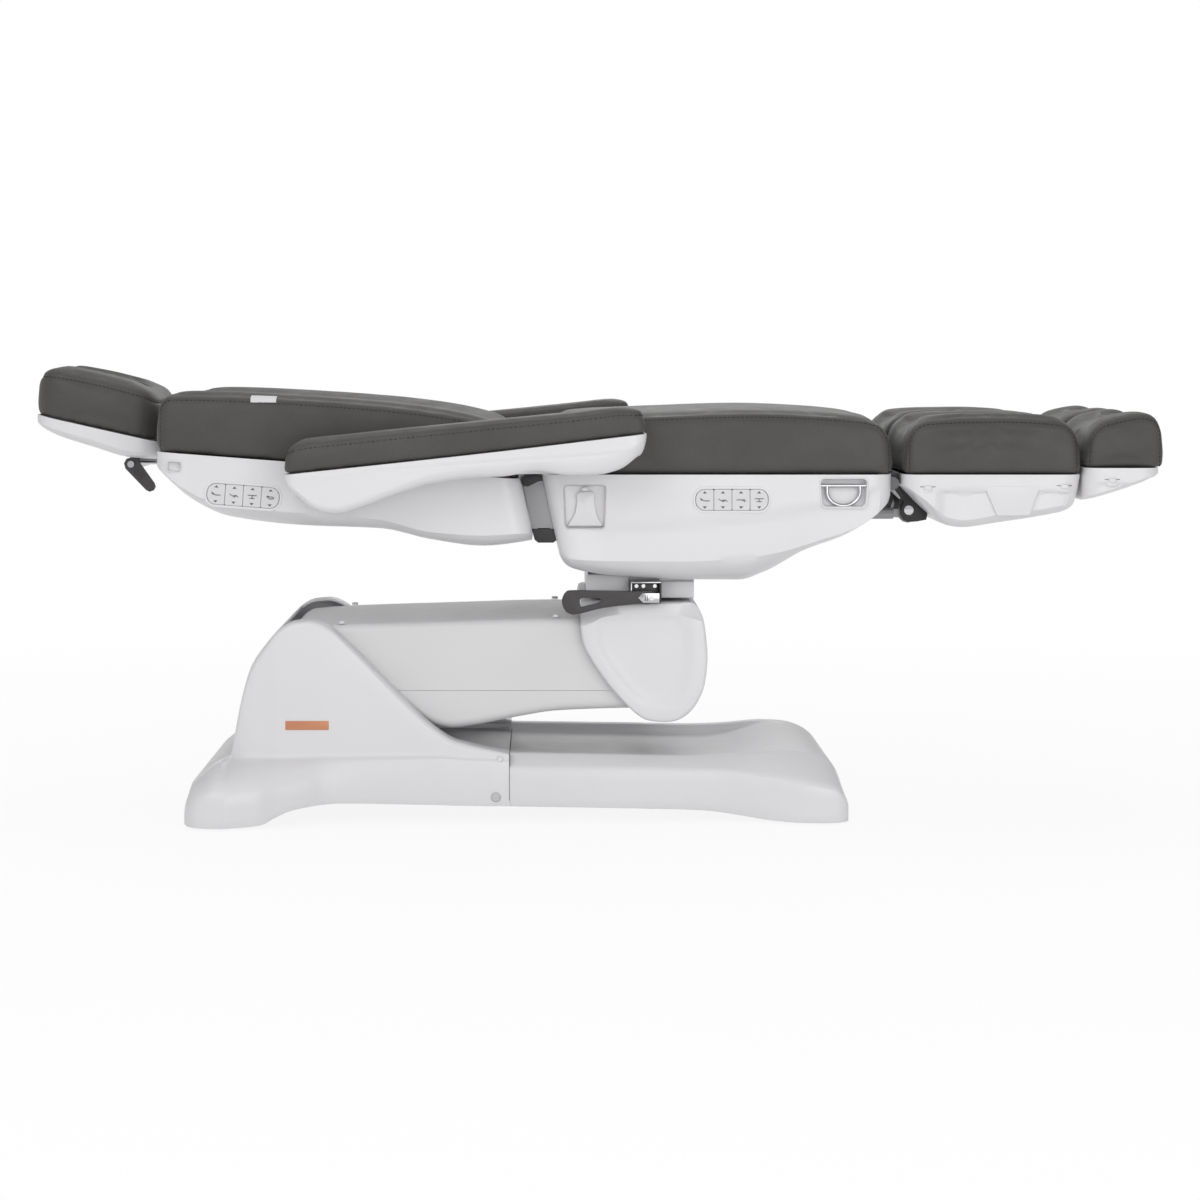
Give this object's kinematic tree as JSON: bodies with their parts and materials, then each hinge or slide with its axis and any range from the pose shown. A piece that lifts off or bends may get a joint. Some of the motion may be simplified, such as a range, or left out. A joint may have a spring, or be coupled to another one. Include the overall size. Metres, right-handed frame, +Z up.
{
  "type": "electric spa treatment table",
  "caption": "Electric treatment table on a lifting arm and swivel: padded seat, reclining back, tilting headrest with face hole, drop armrests and split sliding leg rests.",
  "frame": {"origin": "on the floor under the middle of the lowered, flat table", "axes": "+X towards the foot end, +Y towards the side away from the camera in the picture, +Z up"},
  "size_m": [1.8795, 0.84, 0.7533],
  "materials": {
    "painted_steel": "satin grey paint",
    "black_steel": "satin black paint",
    "rubber": "matt",
    "white_abs": "fine moulded white",
    "leatherette": "soft grey upholstery",
    "chrome": "polished",
    "grey_tube": "satin",
    "black_plastic": "fine grain",
    "motor_grey": "satin"
  },
  "bodies": {
    "base": {"base_frame": "painted_steel", "rear_base_cover": "white_abs", "front_base_cover": "white_abs", "power_unit": "black_plastic", "levelling_foot_rear_near": "rubber", "levelling_foot_rear_far": "rubber", "levelling_foot_front_near": "rubber", "levelling_foot_front_far": "rubber"},
    "lift_arm": {"lift_arm_frame": "painted_steel", "lift_arm_upper_cover": "white_abs", "lift_arm_lower_cover": "white_abs"},
    "parallel_link": {"parallel_link": "painted_steel"},
    "pivot_head": {"pivot_housing": "white_abs", "pivot_core": "painted_steel"},
    "lift_motor": {"lift_actuator_body": "motor_grey"},
    "lift_rod": {"lift_actuator_rod": "chrome"},
    "turntable": {"swivel_post": "white_abs", "swivel_lock_bracket": "chrome"},
    "lock_lever": {"swivel_lock_lever": "black_plastic"},
    "seat": {"seat_frame": "painted_steel", "seat_shell": "white_abs", "seat_cushion": "leatherette", "leg_motor": "motor_grey"},
    "tilt_motor": {"tilt_actuator_body": "motor_grey"},
    "tilt_rod": {"tilt_actuator_rod": "chrome"},
    "back": {"back_frame": "painted_steel", "back_shell": "white_abs", "back_cushion": "leatherette"},
    "back_motor": {"back_actuator_body": "motor_grey"},
    "back_rod": {"back_actuator_rod": "chrome"},
    "headrest_slider": {"headrest_rods": "chrome"},
    "headrest": {"headrest_shell": "white_abs", "headrest_cushion": "leatherette"},
    "headrest_lever": {"headrest_lock_lever": "black_plastic"},
    "armrest_near": {"armrest_shell_near": "white_abs", "armrest_pad_near": "leatherette"},
    "leg_near": {"leg_frame_near": "black_steel", "leg_shell_near": "white_abs", "leg_cushion_near": "leatherette"},
    "push_near": {"leg_push_rod_near": "grey_tube"},
    "foot_near": {"foot_shell_near": "white_abs", "foot_cushion_near": "leatherette"},
    "ring_near": {"ring_near": "chrome"},
    "armrest_far": {"armrest_shell_far": "white_abs", "armrest_pad_far": "leatherette"},
    "leg_far": {"leg_frame_far": "black_steel", "leg_shell_far": "white_abs", "leg_cushion_far": "leatherette"},
    "push_far": {"leg_push_rod_far": "grey_tube"},
    "foot_far": {"foot_shell_far": "white_abs", "foot_cushion_far": "leatherette"},
    "ring_far": {"ring_far": "chrome"},
    "seat_key_back": {"seat_key_back": "white_abs"},
    "seat_key_tilt": {"seat_key_tilt": "white_abs"},
    "seat_key_legs": {"seat_key_legs": "white_abs"},
    "seat_key_height": {"seat_key_height": "white_abs"},
    "back_key_back": {"back_key_back": "white_abs"},
    "back_key_tilt": {"back_key_tilt": "white_abs"},
    "back_key_height": {"back_key_height": "white_abs"},
    "back_key_return": {"back_key_return": "white_abs"}
  },
  "joints": [
    {"name": "arm_lift", "type": "hinge", "parent": "base", "child": "lift_arm", "pos_m": [-0.46, 0, 0.25], "axis": [0, -1, 0], "range_deg": [0, 33]},
    {"name": "link_swing", "type": "hinge", "parent": "base", "child": "parallel_link", "pos_m": [-0.46, 0, 0.195], "axis": [0, -1, 0], "range_deg": [0, 33]},
    {"name": "head_level", "type": "hinge", "parent": "lift_arm", "child": "pivot_head", "pos_m": [0.095, 0, 0.262], "axis": [0, 1, 0], "range_deg": [0, 33]},
    {"name": "lift_motor_swing", "type": "hinge", "parent": "base", "child": "lift_motor", "pos_m": [-0.42, 0, 0.058], "axis": [0, -1, 0], "range_deg": [0, 17.25]},
    {"name": "lift_motor_stroke", "type": "slide", "parent": "lift_motor", "child": "lift_rod", "axis": [0.7321, 0, 0.6812], "range_m": [0, 0.08839]},
    {"name": "swivel", "type": "hinge", "parent": "pivot_head", "child": "turntable", "pos_m": [0.095, 0, 0.3675], "axis": [0, 0, 1], "range_deg": [-120, 120]},
    {"name": "swivel_lock", "type": "hinge", "parent": "turntable", "child": "lock_lever", "pos_m": [0.0967, -0.235, 0.3727], "axis": [0, -1, 0], "range_deg": [0, 25]},
    {"name": "seat_tilt", "type": "hinge", "parent": "turntable", "child": "seat", "pos_m": [0.02, 0, 0.45], "axis": [0, -1, 0], "range_deg": [0, 12]},
    {"name": "tilt_motor_swing", "type": "hinge", "parent": "turntable", "child": "tilt_motor", "pos_m": [0.12, 0.055, 0.43], "axis": [0, -1, 0], "range_deg": [0, 14.76]},
    {"name": "tilt_motor_stroke", "type": "slide", "parent": "tilt_motor", "child": "tilt_rod", "axis": [0.6045, 0, 0.7966], "range_m": [0, 0.02001]},
    {"name": "backrest", "type": "hinge", "parent": "seat", "child": "back", "pos_m": [-0.102, 0, 0.615], "axis": [0, 1, 0], "range_deg": [0, 65]},
    {"name": "back_motor_swing", "type": "hinge", "parent": "seat", "child": "back_motor", "pos_m": [0.1, -0.055, 0.44], "axis": [0, 1, 0], "range_deg": [0, 13.34]},
    {"name": "back_motor_stroke", "type": "slide", "parent": "back_motor", "child": "back_rod", "axis": [-0.9469, 0, 0.3216], "range_m": [0, 0.09035]},
    {"name": "headrest_slide", "type": "slide", "parent": "back", "child": "headrest_slider", "axis": [-1, 0, 0], "range_m": [0, 0.1]},
    {"name": "headrest_tilt", "type": "hinge", "parent": "headrest_slider", "child": "headrest", "pos_m": [-0.783, 0, 0.5885], "axis": [0, -1, 0], "range_deg": [0, 60]},
    {"name": "headrest_lock", "type": "hinge", "parent": "headrest_slider", "child": "headrest_lever", "pos_m": [-0.783, -0.1, 0.5885], "axis": [0, -1, 0], "range_deg": [0, 45]},
    {"name": "armrest_near", "type": "hinge", "parent": "back", "child": "armrest_near", "pos_m": [-0.414, -0.35, 0.551], "axis": [0, -1, 0], "range_deg": [0, 85]},
    {"name": "armrest_far", "type": "hinge", "parent": "back", "child": "armrest_far", "pos_m": [-0.414, 0.35, 0.551], "axis": [0, -1, 0], "range_deg": [0, 85]},
    {"name": "legs", "type": "hinge", "parent": "seat", "child": "leg_near", "pos_m": [0.4962, -0.155, 0.5632], "axis": [0, 1, 0], "range_deg": [0, 70]},
    {"name": "leg_far_hinge", "type": "hinge", "parent": "seat", "child": "leg_far", "pos_m": [0.4962, 0.155, 0.5632], "axis": [0, 1, 0], "range_deg": [0, 70]},
    {"name": "push_near", "type": "slide", "parent": "seat", "child": "push_near", "axis": [-1, 0, 0], "range_m": [0, 0.0712]},
    {"name": "push_far", "type": "slide", "parent": "seat", "child": "push_far", "axis": [-1, 0, 0], "range_m": [0, 0.0712]},
    {"name": "foot_slide_near", "type": "slide", "parent": "leg_near", "child": "foot_near", "axis": [1, 0, 0], "range_m": [0, 0.12]},
    {"name": "foot_slide_far", "type": "slide", "parent": "leg_far", "child": "foot_far", "axis": [1, 0, 0], "range_m": [0, 0.12]},
    {"name": "seat_key_back", "type": "hinge", "parent": "seat", "child": "seat_key_back", "pos_m": [0.18395, -0.2972, 0.5375], "axis": [1, 0, 0], "range_deg": [-5, 5], "stiffness_Nm_per_rad": 0.3},
    {"name": "seat_key_tilt", "type": "hinge", "parent": "seat", "child": "seat_key_tilt", "pos_m": [0.21365, -0.2972, 0.5375], "axis": [1, 0, 0], "range_deg": [-5, 5], "stiffness_Nm_per_rad": 0.3},
    {"name": "seat_key_legs", "type": "hinge", "parent": "seat", "child": "seat_key_legs", "pos_m": [0.24335, -0.2972, 0.5375], "axis": [1, 0, 0], "range_deg": [-5, 5], "stiffness_Nm_per_rad": 0.3},
    {"name": "seat_key_height", "type": "hinge", "parent": "seat", "child": "seat_key_height", "pos_m": [0.27305, -0.2972, 0.5375], "axis": [1, 0, 0], "range_deg": [-5, 5], "stiffness_Nm_per_rad": 0.3},
    {"name": "back_key_back", "type": "hinge", "parent": "back", "child": "back_key_back", "pos_m": [-0.61692, -0.2972, 0.54736], "axis": [0.9972, 0, -0.0753], "range_deg": [-5, 5], "stiffness_Nm_per_rad": 0.3},
    {"name": "back_key_tilt", "type": "hinge", "parent": "back", "child": "back_key_tilt", "pos_m": [-0.58731, -0.2972, 0.54512], "axis": [0.9972, 0, -0.0753], "range_deg": [-5, 5], "stiffness_Nm_per_rad": 0.3},
    {"name": "back_key_height", "type": "hinge", "parent": "back", "child": "back_key_height", "pos_m": [-0.55769, -0.2972, 0.54288], "axis": [0.9972, 0, -0.0753], "range_deg": [-5, 5], "stiffness_Nm_per_rad": 0.3},
    {"name": "back_key_return", "type": "hinge", "parent": "back", "child": "back_key_return", "pos_m": [-0.52808, -0.2972, 0.54065], "axis": [0.9972, 0, -0.0753], "range_deg": [-5, 5], "stiffness_Nm_per_rad": 0.3},
    {"name": "ring_near", "type": "hinge", "parent": "seat", "child": "ring_near", "pos_m": [0.412, -0.292, 0.5605], "axis": [-1, 0, 0], "range_deg": [0, 90]},
    {"name": "ring_far", "type": "hinge", "parent": "seat", "child": "ring_far", "pos_m": [0.412, 0.292, 0.5605], "axis": [1, 0, 0], "range_deg": [0, 90]}
  ],
  "couplings": [
    {"joint": "link_swing", "follows": "arm_lift", "ratio": 1},
    {"joint": "head_level", "follows": "arm_lift", "ratio": 1},
    {"joint": "lift_motor_swing", "follows": "arm_lift", "ratio": 0.52237},
    {"joint": "lift_motor_stroke", "follows": "arm_lift", "m_per_rad": 0.15329},
    {"joint": "tilt_motor_swing", "follows": "seat_tilt", "ratio": 1.2294},
    {"joint": "tilt_motor_stroke", "follows": "seat_tilt", "m_per_rad": 0.095081},
    {"joint": "back_motor_swing", "follows": "backrest", "ratio": 0.20499},
    {"joint": "back_motor_stroke", "follows": "backrest", "m_per_rad": 0.079553},
    {"joint": "leg_far_hinge", "follows": "legs", "ratio": 1},
    {"joint": "push_near", "follows": "legs", "m_per_rad": 0.0582},
    {"joint": "push_far", "follows": "legs", "m_per_rad": 0.0582}
  ]
}
